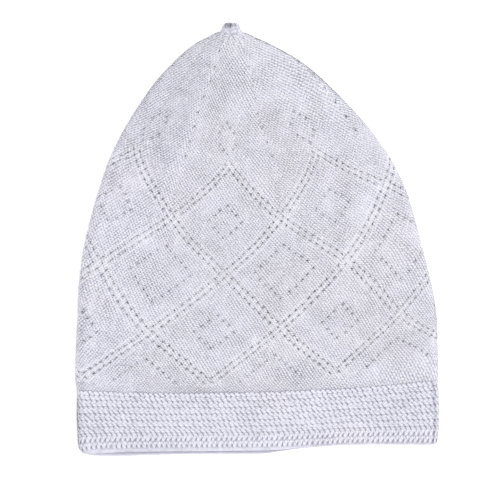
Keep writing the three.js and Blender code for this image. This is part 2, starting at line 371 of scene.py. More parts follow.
def outer_row(j):
    return j - SECOND_ROW + 1


def inner_row(j):
    return (j - SECOND_ROW) // 2 + 1


def crown_eyelets():
    """The eyelets' columns and rows, both odd, with their size and the way they slant."""
    found = {}

    def add(i, j, size, slant):
        i = i % COLUMNS
        for di in (-2, 0, 2):
            for dj in (-2, 0, 2):
                if ((i + di) % COLUMNS, j + dj) in found:
                    return
        found[(i, j)] = (size, slant)

    for gore in range(GORES):
        for j in range(1, LATTICE_ROWS + 2, EYELET_PITCH):
            for side in LATTICE_SIDES:
                add(gore * GRID + HALF_GORE + side - j, j, 1.0, -1)
                add(gore * GRID + HALF_GORE + side + j, j, 1.0, 1)
    for gore in range(GORES):
        for middle_i, middle_j, reach in INNER_DIAMONDS:
            for a in range(1, reach, EYELET_PITCH):
                corners = ((a, reach - a, -1), (reach - a, -a, 1), (-a, a - reach, -1), (a - reach, a, 1))
                for i, j, slant in corners:
                    if middle_j + j > 0 and abs(middle_j + j - COARSE_FROM) > 2:
                        add(gore * GRID + middle_i + i, middle_j + j, INNER_SIZE, slant)
        for j in PEAK_ROWS:
            if abs(j - COARSE_FROM) > 2:
                add(gore * GRID + 1, j, PEAK_SIZE, 0)
    return found


def lattice_relief(i, j):
    """How far the fabric stands up beside the rows of eyelets, as a share of RELIEF_HEIGHT."""
    relief = np.zeros(np.broadcast(i, j).shape)
    inside = (j > -4) & (j < LATTICE_ROWS + 4)
    for slant in (i + j, i - j):
        off = np.mod(slant - 1, GRID) - GRID / 2
        beside = BESIDE_HEIGHT * hill(np.abs(off), BESIDE_AT, BESIDE_WIDTH)
        relief = relief + np.where(inside, hill(off, 0, RIDGE_WIDTH) + beside, 0)
    return np.minimum(relief, 1.2)


def open_eyelets(eyelets):
    """What the eyelets do to the grid: shifts of the outer points that make them round, depths
    that dish their rims, the outer cells cut out, the inner shifts and the inner cells."""
    shift = np.zeros((len(OUTER_ROWS), COLUMNS, 2))
    dish = np.zeros((len(OUTER_ROWS), COLUMNS))
    cut = np.zeros(dish.shape, bool)
    inner_shift = np.zeros((len(INNER_ROWS), HALF_COLUMNS, 2))
    inner_cut = np.zeros((len(INNER_ROWS), HALF_COLUMNS), bool)
    rng = np.random.default_rng(EYELET_SEED)
    for (i, j), (size, slant) in eyelets.items():
        r = outer_row(j)
        clear = 0.95 + 0.3 * ripple(0.9 * i, 1.1 * j)
        size = size * clear * rng.uniform(*EYELET_SIZES)
        sunk = clear * rng.uniform(*EYELET_DEPTHS)
        stray = rng.normal(0, EYELET_STRAY, 2).clip(-MOST_STRAY, MOST_STRAY)
        for di in (-1, 0, 1):
            for dj in (-1, 0, 1):
                if di or dj:
                    reach = size * EYELET_REACH[di * dj * slant if slant else 0]
                    shift[r + dj, (i + di) % COLUMNS] += np.array([di, dj]) * (reach - 1) + stray
                    dish[r + dj, (i + di) % COLUMNS] += sunk
        for di in (-1, 0, 1):
            for dj in (-2, 2):
                dish[r + dj, (i + di) % COLUMNS] += OUTER_DISH
                dish[r + di, (i + dj) % COLUMNS] += OUTER_DISH
        for di in (-1, 0):
            for dj in (-1, 0):
                cut[r + dj, (i + di) % COLUMNS] = True
        k = (i - 1) // 2
        q = inner_row(j - 1)
        inner_cut[q, k] = True
        for dk in (0, 1):
            for dq in (0, 1):
                inward = INNER_OPENING * (1 - 2 * np.array([dk, dq]))
                inner_shift[q + dq, (k + dk) % HALF_COLUMNS] += inward + stray
    return shift, dish, cut, inner_shift, inner_cut


def crown_outer(shift, dish):
    """The outer surface's points, with the phase, course and relief of each."""
    i = np.arange(COLUMNS)[None, :] + shift[..., 0]
    rows = OUTER_ROWS[:, None]
    j = rows + shift[..., 1]
    phase = i / GRID
    course = np.clip(j / GRID, FIRST_COURSE, LAST_COURSE)
    gather = fade(course, *GATHERED) ** 1.5
    pucker = PUCKER_DEPTH * gather * (1 - np.cos(2 * math.pi * PUCKERS * phase))
    flat = crown_point(course, phase, np.zeros_like(course))
    slack = SLACK_DEPTH * ripple(flat[..., 0], flat[..., 1]) * fade(course, FIRST_COURSE, 0.2)
    relief = lattice_relief(i, j)
    hem = HEM_DIP * hill(rows, HEM_ROW, HEM_DIP_ROWS)
    depth = SURFACE_DEPTH + np.minimum(dish, DEEPEST_DISH) + hem + pucker - RELIEF_HEIGHT * relief
    depth = depth + np.maximum(slack, -0.1)
    return crown_point(course, phase, depth), phase, course, relief


def crown_inner(shift):
    """The inner surface's points, with the phase and course of each."""
    phase = (2 * np.arange(HALF_COLUMNS)[None, :] + shift[..., 0]) / GRID
    course = np.clip((INNER_ROWS[:, None] + shift[..., 1]) / GRID, FIRST_COURSE, LAST_COURSE)
    return crown_point(course, phase, np.full_like(phase, INNER_DEPTH)), phase, course


def crown_end(outer, inner):
    """The points of the rings that close the crown, and its outer and inner tip."""
    top = outer[-1, ::2]
    end = np.array([top[:, 0].mean(), CROWN_TOP_Y, top[:, 2].mean()])
    rings = [end + (top - end) * (size, 1, size) + (0, up, 0) for size, up in CLOSING_RINGS]
    return rings + [end[None] - (0, TIP_DOWN, 0), inner[-1].mean(0)[None]]


class CrownFaces:
    """Faces of the crown, with the gore of each corner and the layer of each face."""

    def __init__(self):
        self.faces = []
        self.gores = []
        self.upper = []

    def add(self, rows, columns):
        """Adds faces, given the column that each lies in."""
        self.faces.extend(rows.tolist())
        self.gores.extend(np.repeat((columns // GRID) % GORES, rows.shape[1]).tolist())
        self.upper.extend(((columns - UPPER_FROM) % COLUMNS < UPPER_COLUMNS).tolist())

    def add_grid(self, index, cut, order=(0, 1, 2, 3)):
        """Adds the quads of a grid of point numbers, apart from those cut out."""
        quads = quads_of(index)[..., list(order)]
        columns = np.arange(0, COLUMNS, COLUMNS // index.shape[1])
        columns = np.broadcast_to(columns, cut.shape)
        self.add(quads[~cut], columns[~cut])


def crown_faces(eyelets, cut, inner_cut):
    """The crown's faces. Their points are numbered along the outer surface, the inner one, the
    closing rings and the two tips."""
    outer = np.arange(len(OUTER_ROWS) * COLUMNS).reshape(-1, COLUMNS)
    inner = outer.size + np.arange(len(INNER_ROWS) * HALF_COLUMNS).reshape(-1, HALF_COLUMNS)
    first_closing = outer.size + inner.size
    closing = first_closing + np.arange(len(CLOSING_RINGS) * HALF_COLUMNS).reshape(-1, HALF_COLUMNS)
    tip = first_closing + closing.size
    inner_tip = tip + 1
    even = outer[:, ::2]
    even_right = np.roll(even, -1, axis=1)
    inner_right = np.roll(inner, -1, axis=1)
    even_columns = 2 * np.arange(HALF_COLUMNS)

    # The outer surface, whose columns are halved at one row
    found = CrownFaces()
    split = outer_row(COARSE_FROM)
    found.add_grid(outer[: split + 1], cut[:split])
    strip = [even[split], outer[split, 1::2], even_right[split], even_right[split + 1], even[split + 1]]
    found.add(np.stack(strip, -1), even_columns)
    found.add_grid(even[split + 1 :], cut[split + 1 : -1, ::2])

    # The inner surface, the hem and the end
    found.add_grid(inner, inner_cut[:-1], TURNED_OVER)
    hem = [even_right[0], outer[0, 1::2], even[0], inner[0], inner_right[0]]
    found.add(np.stack(hem, -1), even_columns)
    rings = np.stack([even[-1], *closing])
    found.add_grid(rings, np.zeros((len(closing), HALF_COLUMNS), bool))
    last = rings[-1]
    found.add(np.stack([last, np.roll(last, -1), np.full_like(last, tip)], -1), even_columns)
    last = inner[-1]
    found.add(np.stack([np.roll(last, -1), last, np.full_like(last, inner_tip)], -1), even_columns)

    # The walls of the eyelets
    for i, j in eyelets:
        r = outer_row(j)
        q = inner_row(j - 1)
        a = (i - 1) // 2
        b = (a + 1) % HALF_COLUMNS
        west, east = (i - 1) % COLUMNS, (i + 1) % COLUMNS
        rim = [
            (outer[r - 1, west], outer[r - 1, i], outer[r - 1, east]),
            (outer[r - 1, east], outer[r, east], outer[r + 1, east]),
            (outer[r + 1, east], outer[r + 1, i], outer[r + 1, west]),
            (outer[r + 1, west], outer[r, west], outer[r - 1, west]),
        ]
        under = [inner[q, a], inner[q, b], inner[q + 1, b], inner[q + 1, a]]
        for side in range(4):
            top = rim[side][::-1]
            if j > COARSE_FROM and side in (0, 2):
                top = (top[0], top[2])
            found.add(np.array([[*top, under[side], under[(side + 1) % 4]]]), np.array([i]))
    return found


def crown_uv(phase, course, corners, gores):
    """Texture coordinates in stitches and rows: the wales run along the middle of each gore."""
    table = sample(CROWN_COURSES, course)
    gore_width = (table[:, 4] - table[:, 1]) * CAP_WIDTH / GORES
    up = (table[:, 2] + 4 * table[:, 3] + table[:, 5]) / 6 * (CROWN_TOP_Y - CROWN_BASE_Y)
    off_middle = np.mod(phase[corners] - gores - 0.5 + GORES / 2, GORES) - GORES / 2
    stitches = off_middle * gore_width[corners] / STITCH_WIDTH
    return np.stack([stitches + KNIT_START[0], up[corners] / ROW_HEIGHT + KNIT_START[1]], -1)


# The crown's painted light and shade: the courses where some come or go and over how much, how far inside
# the folds the strips lie, and the strength of each
HIGH_SHADE_COMES = (1.9, 0.25)
PEAK_SHADE_COMES = (2.2, 0.2)
LOW_SHADE_GOES = (0.9, -0.3)
LEFT_STRIP_GOES = (1.55, -0.3)
STRIP_INSET = 3.6
CROWN_SHADE_WIDTH = 1.9
LEFT_PAINTED_SHADE_STRIP = 0.09
LEFT_STRIP_WIDTH = 2.2
RIGHT_PAINTED_LIGHT_STRIP = 0.06
RIGHT_STRIP_WIDTH = 3.6
# Painted shade at the edges of the folds, by side and course
LEFT_RIM = 0.03
LEFT_RIM_HIGH = 0.5
RIGHT_RIM_HIGH = 0.3
RIGHT_RIM_PEAK = 0.75
RIGHT_RIM_LOW = 0.2
RELIEF_PAINTED_HIGHLIGHT = 0.25
DISH_PAINTED_SHADE = 0.55


def paint_crown_shading(outer, course, relief, dish):
    """The painted light and shade of the outer surface. A painted shade lies at the folds, strongest near
    the peak, with a strip of painted shade inside the left fold and one of painted light inside the
    right. The relief gets a painted highlight, and the dishes round the eyelets painted shade."""
    folds = sample(CROWN_COURSES, course)
    from_left = outer[..., 0] - folds[..., 1] * CAP_WIDTH / 2
    from_right = folds[..., 4] * CAP_WIDTH / 2 - outer[..., 0]
    turning = hill(outer[..., 2], FOLD_GAP / 2 + CROWN_WALL, CROWN_SHADE_WIDTH)
    high = fade(course, *HIGH_SHADE_COMES)
    low = fade(course, *LOW_SHADE_GOES)
    peak = fade(course, *PEAK_SHADE_COMES)
    left_fold_shade = LEFT_RIM + LEFT_RIM_HIGH * high
    right_fold_shade = RIGHT_RIM_HIGH * high + RIGHT_RIM_PEAK * peak + RIGHT_RIM_LOW * low
    # The rim is the painted shade where the folds turn down
    rim = turning * np.where(from_left < from_right, left_fold_shade, right_fold_shade)
    left_shade_strip = hill(from_left, STRIP_INSET, LEFT_STRIP_WIDTH) * fade(course, *LEFT_STRIP_GOES)
    rim += LEFT_PAINTED_SHADE_STRIP * left_shade_strip
    rim -= RIGHT_PAINTED_LIGHT_STRIP * hill(from_right, STRIP_INSET, RIGHT_STRIP_WIDTH) * (1 - low)
    return RELIEF_PAINTED_HIGHLIGHT * relief - DISH_PAINTED_SHADE * np.minimum(dish, DEEPEST_DISH) - rim


def crown_lean(phase, course):
    """The strands of the gore at the left of the upper layer cross, and rise to the peak."""
    turned = np.mod(phase + GORES / 2, GORES) - GORES / 2
    in_left_gore = fade(turned, 0.05, -0.2) * fade(turned, -1.4, 0.2)
    return in_left_gore * (0.5 + 0.5 * np.clip(course - 1.2, 0, 1))


def make_crown():
    """The crown's two layers, with the eyelets cut through them."""
    eyelets = crown_eyelets()
    shift, dish, cut, inner_shift, inner_cut = open_eyelets(eyelets)
    outer, phase, course, relief = crown_outer(shift, dish)
    inner, inner_phase, inner_course = crown_inner(inner_shift)
    end = crown_end(outer, inner)
    points = np.concatenate([outer.reshape(-1, 3), inner.reshape(-1, 3), *end])
    found = crown_faces(eyelets, cut, inner_cut)

    end_phases = [phase[-1, ::2]] * len(CLOSING_RINGS) + [[0.5], [0.5]]
    end_size = sum(len(part) for part in end)
    all_phase = np.concatenate([phase.ravel(), inner_phase.ravel(), *end_phases])
    all_course = np.concatenate([course.ravel(), inner_course.ravel(), np.full(end_size, LAST_COURSE)])
    corners = np.concatenate([np.asarray(face) for face in found.faces])
    uv = crown_uv(all_phase, all_course, corners, np.asarray(found.gores))
    painted_crown_shading = paint_crown_shading(outer, course, relief, dish)
    # The inner surface gets painted light, and the closing rings none
    painted_crown_shading = np.concatenate([painted_crown_shading.ravel(), np.full(inner_phase.size, INNER_PAINTED_LIGHT), np.zeros(end_size)])
    return split_crown(points, found, corners, uv, painted_crown_shading, crown_lean(all_phase, all_course))


def split_crown(points, found, corners, uv, painted_crown_shading, lean):
    """Makes each layer a mesh of its own, which keeps the normals of the whole."""
    whole = new_object("crown_whole", points, found.faces)
    normals = np.zeros(len(points) * 3, np.float32)
    whole.data.vertex_normals.foreach_get("vector", normals)
    normals = normals.reshape(-1, 3)
    bpy.data.objects.remove(whole)
    upper = np.asarray(found.upper)
    sizes = np.array([len(face) for face in found.faces])
    starts = np.concatenate([[0], np.cumsum(sizes)[:-1]])
    pieces = []
    for name, wanted in (("crown_upper_layer", True), ("crown_lower_layer", False)):
        chosen = np.flatnonzero(upper == wanted)
        loops = np.concatenate([np.arange(starts[f], starts[f] + sizes[f]) for f in chosen])
        used, renumbered = np.unique(corners[loops], return_inverse=True)
        ends = np.cumsum(sizes[chosen])[:-1]
        own_faces = [part.tolist() for part in np.split(renumbered, ends)]
        piece = new_object(name, points[used], own_faces)
        set_uv(piece.data, "Knit", uv[loops])
        set_value(piece.data, "PaintedShading", painted_crown_shading[used])
        set_value(piece.data, "Lean", lean[used])
        piece.data.normals_split_custom_set_from_vertices(normals[used].tolist())
        pieces.append(piece)
    return pieces


# The band's wall. Its profiles are shares of the way up the band and depths: the outer one goes
# up from the hem's edge, and the inner one down to it.
WALL_COLUMNS = 300
LIP_PROFILE = [
    (0.0, 1.5),
    (-0.004, 1.1),
    (-0.005, 0.7),
    (0.0, 0.3),
    (0.012, 0.06),
    (0.4 * HEM_SHARE, 0.0),
    (0.68 * HEM_SHARE, 0.06),
    (0.86 * HEM_SHARE, 0.25),
    (HEM_SHARE, 0.6),
]
BEHIND_STITCHES = 0.75   # the depth of the wall under the stitches
OUTER_STEPS = BAND_ROWS * 3
INNER_STEPS = BAND_ROWS * 2
INNER_GROOVE = 0.25
HEM_DIPS = 0.14          # the depth of the dips between the beads of the hem and the inside
INNER_DIPS = 0.28
PLAIN_TONE = -0.1
# Painted shade of the wall between the rows of stitches, and how much it varies up each row
GROOVE_PAINTED_SHADE = -0.16      # of the wall behind the stitches, and how much it varies
GROOVE_PAINTED_SHADE_VARIES = 0.26
GROOVE_AT = 0.3          # the part of each row where it is darkest
INNER_END = [(0.5 * HEM_SHARE, BAND_WALL), (0.012, 2.25), (0.002, 1.9)]


def band_profiles():
    outer = list(LIP_PROFILE)
    for step in range(1, OUTER_STEPS + 1):
        outer.append((HEM_SHARE + (1 - HEM_SHARE) * step / OUTER_STEPS, BEHIND_STITCHES))
    inner = [(1.0, BAND_WALL)]
    for step in range(INNER_STEPS, 0, -1):
        sunk = INNER_GROOVE if step % 2 else 0.0
        inner.append((HEM_SHARE + (1 - HEM_SHARE) * (step - 0.5) / INNER_STEPS, BAND_WALL - sunk))
    return outer, inner + INNER_END


def make_band_wall():
    """The band's wall under its stitches, with the hem as a plain rounded lip."""
    outer_profile, inner_profile = band_profiles()
    profile = np.array(outer_profile + inner_profile)
    phase = np.arange(WALL_COLUMNS)[None, :] * GORES / WALL_COLUMNS
    share = np.broadcast_to(profile[:, :1], (len(profile), WALL_COLUMNS))
    depth = np.broadcast_to(profile[:, 1:], share.shape).copy()
    is_inner = np.arange(len(profile))[:, None] >= len(outer_profile)
    beat = (1 + np.cos(math.pi * np.arange(WALL_COLUMNS)[None, :])) / 2
    depth += np.where(is_inner, -INNER_DIPS * beat, np.where(share < HEM_SHARE, HEM_DIPS * beat, 0))
    points, shade = band_point(share, np.broadcast_to(phase, share.shape), depth)
    index = np.arange(points.shape[0] * WALL_COLUMNS).reshape(-1, WALL_COLUMNS)
    quads = quads_of(np.concatenate([index, index[:1]]))
    u = np.broadcast_to(phase / GORES * BAND_STITCHES, share.shape)
    v = (share - HEM_SHARE) / (1 - HEM_SHARE) * BAND_ROWS
    next_u = u + BAND_STITCHES / WALL_COLUMNS
    next_v = np.roll(v, -1, axis=0)
    corners = [(u, v), (next_u, v), (next_u, next_v), (u, next_v)]
    uv = np.stack([np.stack(corner, -1) for corner in corners], 2)

    # The wall gets painted shade between the rows of stitches, and painted light on the inside and the
    # lower hem
    painted_groove_shade = GROOVE_PAINTED_SHADE - GROOVE_PAINTED_SHADE_VARIES * np.cos(2 * math.pi * (v - GROOVE_AT))
    between = np.where(share > 0.9 * HEM_SHARE, painted_groove_shade, PLAIN_TONE)
    lower_hem = (share < HEM_SHARE) & (points[..., 2] < FOLD_GAP / 2 + BAND_WALL)
    painted_shading = np.where(is_inner | lower_hem, INNER_PAINTED_LIGHT, between) - shade
    wall = new_object("band_wall", points.reshape(-1, 3), quads.reshape(-1, 4).tolist())
    set_uv(wall.data, "Knit", uv.reshape(-1, 2))
    set_value(wall.data, "PaintedShading", painted_shading.ravel())
    return wall


# The stitches of the band's rows: the upper and lower end of each leaf, in stitches and rows,
# its half width in millimetres, how far it stands up, and the end that lies in the shade of
# its neighbours, 1 for the lower and -1 for the upper
ROW_LEAVES = [
    ((-0.2, 1.04), (0.9, 0.3), 1.09, 0.4, 1),
    ((0.34, 0.42), (1.2, -0.08), 1.0, 0.34, -1),
]
LAST_ROW_LEAVES = [
    ((0.9, 1.08), (0.1, -0.16), 1.06, 0.44, 1),
    ((-0.1, 0.98), (0.4, 0.6), 0.82, 0.38, 1),
]
TOP_LEAVES = [((-0.06, 0.62), (1.02, -0.02), 1.1, 0.24, 1)]
ROW_SHIFT = 0.35         # stitches that each row lies to the right of the one above it
LAST_ROWS = 2
LEAF_SIDES = 6
LEAF_RINGS = ((-0.93, 0.66), (-0.5, 0.96), (0.0, 1.0), (0.55, 0.82), (0.93, 0.4))
LEAF_TIP = 1.04
LEAF_POINTS = LEAF_SIDES * len(LEAF_RINGS) + 2
LEAF_DEPTH = 0.62        # of a leaf's underside below the wall's outer side
LEAF_LIFT = 0.12
LEAF_ROUND = 0.62        # how round a leaf is across, and how much it bows along
LEAF_BOW = 0.3
LEAF_WOBBLE = 0.045      # the spread of the leaves' ends and of their plumpness
LEAF_PLUMPNESS = 0.09
LEAF_TONE = -0.03
LEAF_SHADE = 0.2         # at the end that lies in the shade
STITCH_SEED = 7

STITCH = GORES / BAND_STITCHES
STITCH_MM = 2 * CAP_WIDTH / BAND_STITCHES
ROW_SHARE = (1 - HEM_SHARE) / BAND_ROWS
ROW_MM = ROW_SHARE * BAND_HEIGHT


def row_of_leaves(rng, row, leaf):
    """One leaf of every stitch in a row of the band: the points and the painted shade of each."""
    start, end, half_width, height, shaded_end = leaf
    n = BAND_STITCHES
    wobble = rng.normal(0, LEAF_WOBBLE, (n, 4))
    plump = 1 + rng.normal(0, LEAF_PLUMPNESS, n)
    a = np.array(start)[None] + wobble[:, :2]
    b = np.array(end)[None] + wobble[:, 2:]
    middle = (a + b) / 2
    along = (b - a) / 2 * (STITCH_MM, ROW_MM)
    reach = np.linalg.norm(along, axis=1, keepdims=True)
    along = along / reach
    side = np.stack([-along[:, 1], along[:, 0]], -1)
    shift = ROW_SHIFT * max(row - LAST_ROWS, 0)
    turn = np.arange(LEAF_SIDES) * 2 * math.pi / LEAF_SIDES
    spots = []
    lies = []
    for t, size in ((-LEAF_TIP, 0.0), *LEAF_RINGS, (LEAF_TIP, 0.0)):
        for angle in turn if size else turn[:1]:
            off = math.cos(angle) * half_width * size * plump
            swell = LEAF_ROUND * math.sin(angle) * size + LEAF_BOW * (1 - t * t)
            up = (LEAF_LIFT + height * swell) * plump
            place = along * (t * reach) + side * off[:, None]
            spots.append(np.stack([
                (middle[:, 0] + place[:, 0] / STITCH_MM + np.arange(n) - shift) * STITCH,
                HEM_SHARE + (middle[:, 1] + place[:, 1] / ROW_MM + row) * ROW_SHARE,
                LEAF_DEPTH - up,
            ], -1))
            # Painted shade towards the end of the leaf that lies under its neighbours
            lies.append(LEAF_TONE - LEAF_SHADE * max(t * shaded_end, 0) ** 2)
    flat = np.stack(spots, 1).reshape(-1, 3)
    points, shade = band_point(flat[:, 1], flat[:, 0], flat[:, 2])
    return points, np.tile(lies, n) - shade


def leaf_pattern():
    """The faces of one leaf, as numbers of its points, and its texture coordinates, which run
    from 0 to 1 along it and round it."""
    faces = []
    corners = []
    rings = len(LEAF_RINGS)
    for s in range(LEAF_SIDES):
        s2 = (s + 1) % LEAF_SIDES
        faces.append((1 + s, 1 + s2, 0))
        corners.extend(((0.1, s), (0.1, s + 1), (0, 0)))
        for ring in range(rings - 1):
            base = 1 + ring * LEAF_SIDES
            above = base + LEAF_SIDES
            low = (ring + 0.5) / rings
            high = (ring + 1.5) / rings
            faces.append((above + s, above + s2, base + s2, base + s))
            corners.extend(((high, s), (high, s + 1), (low, s + 1), (low, s)))
        base = 1 + (rings - 1) * LEAF_SIDES
        faces.append((LEAF_POINTS - 1, base + s2, base + s))
        corners.extend(((1, s), (0.9, s + 1), (0.9, s)))
    return faces, np.array(corners) / (1, LEAF_SIDES)


def make_band_stitches():
    """Every stitch of the band, as two leaves of yarn."""
    rng = np.random.default_rng(STITCH_SEED)
    pattern, leaf_uv = leaf_pattern()
    stitch_order = np.arange(BAND_STITCHES)
    points, faces, uvs, painted_shading = [], [], [], []
    rows = [LAST_ROW_LEAVES] * LAST_ROWS + [ROW_LEAVES] * (BAND_ROWS - LAST_ROWS) + [TOP_LEAVES]
    first = 0
    for row, leaves in enumerate(rows):
        for leaf in leaves:
            leaf_points, leaf_lies = row_of_leaves(rng, row, leaf)
            points.append(leaf_points)
            painted_shading.append(leaf_lies)
            for _ in range(BAND_STITCHES):
                faces.extend([tuple(first + v for v in face) for face in pattern])
                first += LEAF_POINTS
            places = np.stack([stitch_order, np.full(BAND_STITCHES, row)], -1)
            uvs.append(np.tile(leaf_uv, (BAND_STITCHES, 1)) + np.repeat(places, len(leaf_uv), 0))
    stitches = new_object("band_stitches", np.concatenate(points), faces)
    set_uv(stitches.data, "Knit", np.concatenate(uvs))
    set_value(stitches.data, "PaintedShading", np.concatenate(painted_shading))
    return stitches


# The knot: its rings from the crown up, as shares of its height and of its width
KNOT_RINGS = (
    (-0.45, 1.0),
    (-0.3, 1.28),
    (-0.1, 1.24),
    (0.08, 1.14),
    (0.25, 1.01),
    (0.42, 0.96),
    (0.58, 0.92),
    (0.72, 0.86),
    (0.84, 0.76),
    (0.93, 0.6),
    (0.96, 0.45),
    (0.9, 0.32),
    (0.7, 0.2),
)
KNOT_SIDES = 144
KNOT_LOOPS = 9
KNOT_TIP_DOWN = 0.3


def make_knot():
    """The last stitches drawn together: a small gathered bud, hollow in the middle."""
    top = sample(CROWN_COURSES, LAST_COURSE)
    centre_x = (top[1] + top[4]) / 2 * CAP_WIDTH / 2
    centre_z = FOLD_GAP / 2 + CROWN_WALL
    height = KNOT_HEIGHT - PIECE_GAP
    base_y = CROWN_TOP_Y + PIECE_GAP
    turn = np.arange(KNOT_SIDES) * 2 * math.pi / KNOT_SIDES
    loop = np.cos(KNOT_LOOPS * turn + 0.8)
    between = np.maximum(-loop, 0) ** 1.5 * (0.65 + 0.35 * np.cos(turn - 2.1))
    rings = []
    lies = []
    for up, size in KNOT_RINGS:
        high = fade(up, 0.35, 0.5)
        out = size * (0.97 + 0.03 * np.cos(5 * turn + 1) - (0.05 + 0.16 * high) * between)
        x = centre_x + KNOT_WIDTH / 2 * 0.86 * out * np.cos(turn)
        z = centre_z + KNOT_THICKNESS / 2 * np.minimum(out, 1.03) * np.sin(turn)
        y = base_y + height * (up - 0.22 * high * between)
        rings.append(np.stack([x, y, z], -1))
        # Painted shade between the loops, stronger near the top, and in the hollow on the upper side
        hollow = hill(x, centre_x - 1.1, 2.4) * hill(up, 0.7, 0.3)
        lies.append(0.05 - (0.1 + 0.45 * high) * between - 0.5 * hollow * (np.sin(turn) > 0))
    ring_points = np.concatenate(rings)
    index = np.arange(len(ring_points)).reshape(-1, KNOT_SIDES)
    faces = quads_of(index)[..., TURNED_OVER].reshape(-1, 4).tolist()
    tip = len(ring_points)
    for s in range(KNOT_SIDES):
        s2 = (s + 1) % KNOT_SIDES
        faces.append([index[-1, s], tip, index[-1, s2]])
        faces.append([index[0, s2], tip + 1, index[0, s]])
    tips = [rings[-1].mean(0) - (0, KNOT_TIP_DOWN, 0), rings[0].mean(0)]
    knot = new_object("peak_knot_bud", np.concatenate([ring_points, tips]), faces)
    # The tip inside the hollow gets painted shade
    set_value(knot.data, "PaintedShading", np.concatenate([*lies, [-0.8, 0.0]]))
    return knot


# Materials

class Nodes:
    """Writes the shader's sums as calls."""

    def __init__(self, material):
        material.use_nodes = True
        self.tree = material.node_tree
        self.shader = self.tree.nodes["Principled BSDF"]

    def put(self, socket, value):
        if hasattr(value, "is_linked"):
            self.tree.links.new(value, socket)
        else:
            socket.default_value = value

    def math(self, operation, a, b=0.0):
        node = self.tree.nodes.new("ShaderNodeMath")
        node.operation = operation
        self.put(node.inputs[0], a)
        self.put(node.inputs[1], b)
        return node.outputs[0]

    def add(self, a, b):
        return self.math("ADD", a, b)

    def sub(self, a, b):
        return self.math("SUBTRACT", a, b)

    def mul(self, a, b):
        return self.math("MULTIPLY", a, b)

    def noise(self, vector, scale, detail=2.0, rough=0.5):
        node = self.tree.nodes.new("ShaderNodeTexNoise")
        self.put(node.inputs["Vector"], vector)
        self.put(node.inputs["Scale"], scale)
        self.put(node.inputs["Detail"], detail)
        self.put(node.inputs["Roughness"], rough)
        return node.outputs["Fac"]

    def sway(self, value, noise, strength):
        """A value with a noise about its middle added."""
        return self.add(value, self.mul(self.sub(noise, 0.5), strength))

    def combine(self, x, y):
        node = self.tree.nodes.new("ShaderNodeCombineXYZ")
        self.put(node.inputs[0], x)
        self.put(node.inputs[1], y)
        return node.outputs[0]

    def random(self, vector):
        node = self.tree.nodes.new("ShaderNodeTexWhiteNoise")
        node.noise_dimensions = "2D"
        self.put(node.inputs["Vector"], vector)
        return node.outputs["Value"]

    def ramp(self, value, stops):
        node = self.tree.nodes.new("ShaderNodeValToRGB")
        self.put(node.inputs["Fac"], value)
        elements = node.color_ramp.elements
        while len(elements) < len(stops):
            elements.new(0.5)
        for element, (place, colour) in zip(elements, stops):
            element.position = place
            element.color = (*colour, 1)
        return node.outputs["Color"]

    def tint(self, factor, colour, by):
        """A colour multiplied by another, as far as the factor says."""
        node = self.tree.nodes.new("ShaderNodeMix")
        node.data_type = "RGBA"
        node.blend_type = "MULTIPLY"
        self.put(node.inputs["Factor"], factor)
        self.put(node.inputs[6], colour)
        self.put(node.inputs[7], (*by, 1))
        return node.outputs[2]

    def bump(self, height, distance):
        node = self.tree.nodes.new("ShaderNodeBump")
        node.inputs["Strength"].default_value = 1.0
        node.inputs["Distance"].default_value = distance
        self.put(node.inputs["Height"], height)
        self.put(self.shader.inputs["Normal"], node.outputs["Normal"])

    def uv(self):
        node = self.tree.nodes.new("ShaderNodeUVMap")
        node.uv_map = "Knit"
        split = self.tree.nodes.new("ShaderNodeSeparateXYZ")
        self.put(split.inputs[0], node.outputs["UV"])
        return split.outputs[0], split.outputs[1]

    def value_of(self, name):
        node = self.tree.nodes.new("ShaderNodeAttribute")
        node.attribute_name = name
        return node.outputs["Fac"]

    def place(self):
        node = self.tree.nodes.new("ShaderNodeTexCoord")
        return node.outputs["Object"]


# Colours of the yarn, from painted shade between the stitches to painted light on their tops, each at a
# height from 0 to 1
YARN_AND_PAINTED_SHADE_STOPS = (
    (0.0, (0.27, 0.267, 0.32)),
    (0.35, (0.56, 0.555, 0.64)),
    (0.65, (0.82, 0.813, 0.92)),
    (1.0, (0.9, 0.893, 1.0)),
)
WARM_TINT = (1.0, 0.993, 0.965)

# The scale of each noise, and how much it adds
FIBRES_SCALE = 2400
FIBRES = 0.3
MOTTLE_SCALE = 420
MOTTLE = 0.42
CLOUDS_SCALE = 60
CLOUDS = 0.25
WARM_SCALE = 22
WARM_FROM = 0.52         # the noise's value from which the yarn is warm
KNOT_SCALE = 900
BAND_LIGHTNESS = 0.605
# How much the painted light and shade of the band counts
BAND_PAINTED_SHADING = 0.86     # how much the lie of the band's stitches counts
PLIES = 0.1

# The crown's strands
STRAND_SLANT = 0.61      # stitches that a strand of the crown passes in each row
FALLING_HALF_WIDTH = 0.47
RISING_HALF_WIDTH = 0.4
WANDER_ACROSS_SCALE = 120
WANDER_ACROSS = 1.1
WANDER_UP_SCALE = 170
WANDER_UP = 0.9
CLEAR_SCALE = 75         # of the noise that makes the strands clearer or fainter
CLEAR_GAIN = 1.3
CLEAR_BASE = 0.26
CLEAR_RANGE = (0.6, 1.18)
STRAND_MIDDLE = 0.56     # the height that isn't moved when the strands are clearer
CROWN_LIGHTNESS = 0.67
BEAT_SHIFT = 0.37        # how far along each strand's stitches lie beside the last one's
SWELL_VARIES = 0.7
LEAST_SWELL = 0.42
PINCHED = 0.27           # a strand's height between two stitches


def cotton(name, glow, glow_reach):
    """Matt cotton, with the share of light that goes through the yarn, and how far in metres."""
    material = bpy.data.materials.new(name)
    nodes = Nodes(material)
    shader = nodes.shader
    shader.inputs["Roughness"].default_value = 0.92
    shader.inputs["Specular IOR Level"].default_value = 0.2
    shader.inputs["Sheen Weight"].default_value = 0.1
    shader.inputs["Sheen Roughness"].default_value = 0.6
    shader.inputs["Subsurface Weight"].default_value = glow
    shader.inputs["Subsurface Radius"].default_value = (1.0, 1.0, 1.0)
    shader.inputs["Subsurface Scale"].default_value = glow_reach
    return material, nodes


